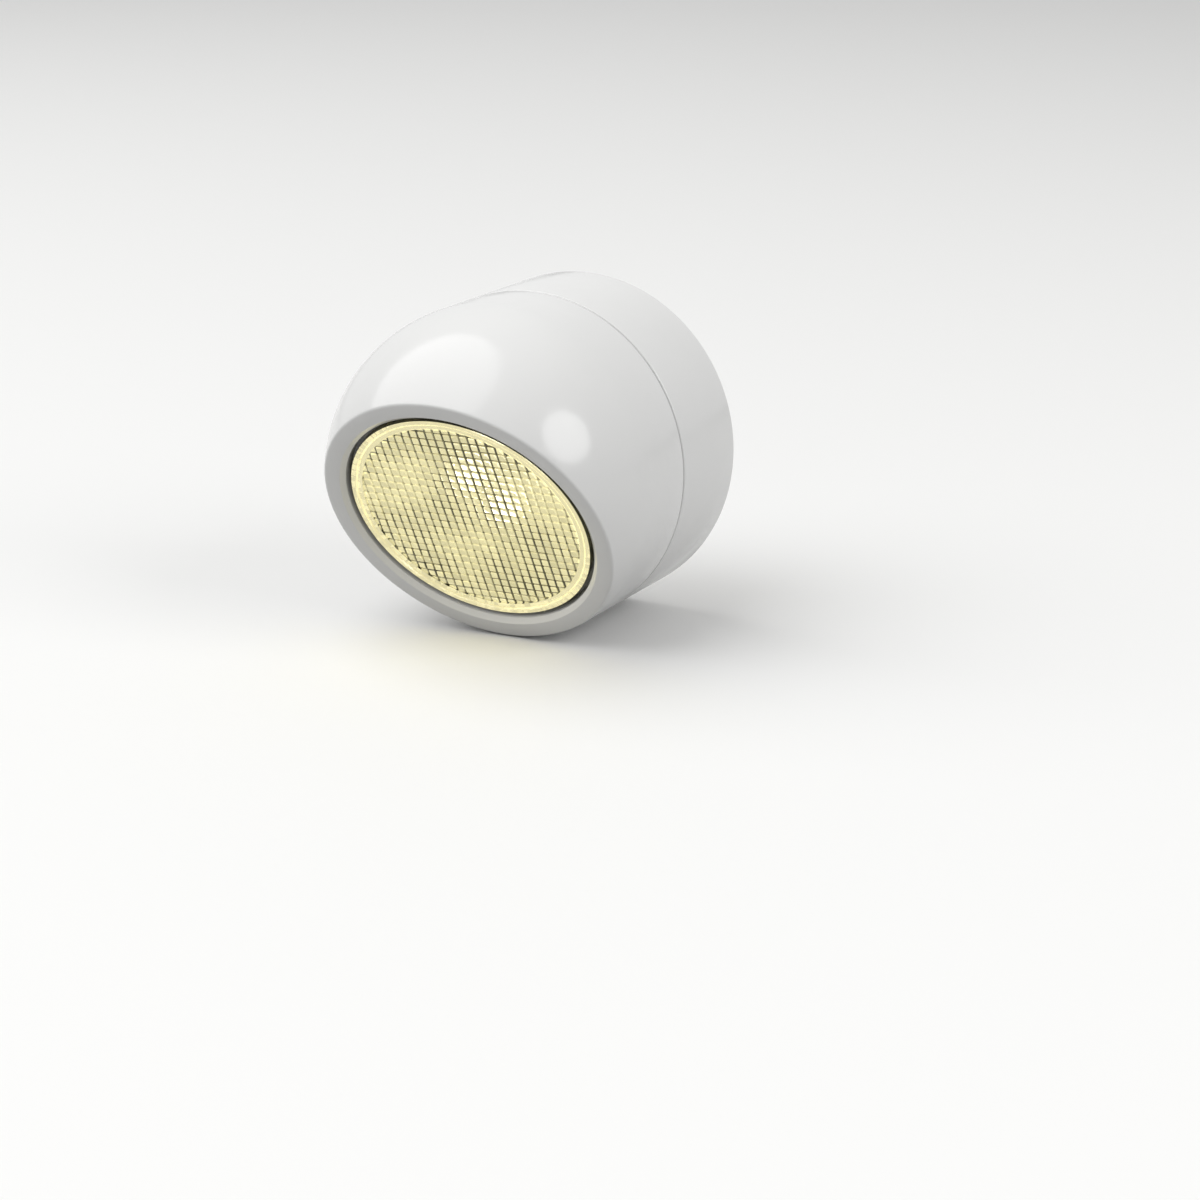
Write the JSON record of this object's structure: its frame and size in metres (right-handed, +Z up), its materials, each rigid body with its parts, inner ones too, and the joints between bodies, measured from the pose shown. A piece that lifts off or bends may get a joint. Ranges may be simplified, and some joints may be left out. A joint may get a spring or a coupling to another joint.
{
  "type": "plug in night light",
  "caption": "Plug in night light: round white base with flat plug blades and a bullet-shaped swivelling head that shines out and down through a round prismatic lens.",
  "frame": {"origin": "centre of the flat rear face that lies against the outlet", "axes": "+Y along the plug blades into the outlet, +Z up, +X to the right as seen from the room; the head points along -Y"},
  "size_m": [0.0405, 0.0569, 0.0405],
  "materials": {
    "white_gloss": "smooth gloss moulding",
    "white_inner": "smooth satin moulding",
    "blade_metal": "nickel-plated, brushed",
    "carrier_black": "moulded phenolic",
    "board_green": "solder mask over glass laminate",
    "board_white": "white solder mask",
    "can_sleeve": "shrunk sleeve",
    "film_box": "moulded box",
    "package_black": "moulded package",
    "fuse_grey": "lacquered",
    "bleed_blue": "lacquered",
    "screw_steel": "zinc plated",
    "spring_steel": "phosphated spring steel",
    "washer_grey": "acetal sheet",
    "lens_clear": "clear prismatic moulding, lit warm white",
    "lamp_yellow": "phosphor gel in a white frame",
    "lead_red": "sleeved wire",
    "lead_black": "sleeved wire"
  },
  "bodies": {
    "base": {"base_shell": "white_gloss", "rear_cover": "white_inner", "cover_screws": "screw_steel", "neutral_blade": "blade_metal", "hot_blade": "blade_metal", "blade_carrier": "carrier_black", "driver_board": "board_green", "electrolytic_capacitor": "can_sleeve", "film_capacitor": "film_box", "bridge_rectifier": "package_black", "driver_chip": "package_black", "fusible_resistor": "fuse_grey", "bleed_resistor": "bleed_blue", "friction_washer": "washer_grey"},
    "head": {"head_shell": "white_gloss", "head_plate": "white_inner", "plate_screws": "screw_steel", "retaining_ring": "spring_steel", "lens": "lens_clear", "reflector": "white_inner", "led_board": "board_white", "leds": "lamp_yellow", "led_resistors": "package_black", "led_board_screws": "screw_steel", "positive_lead": "lead_red", "negative_lead": "lead_black"}
  },
  "joints": [
    {"name": "head_swivel", "type": "hinge", "parent": "base", "child": "head", "pos_m": [0, -0.0143, 0], "axis": [0, 1, 0], "range_deg": [-170, 170]}
  ]
}
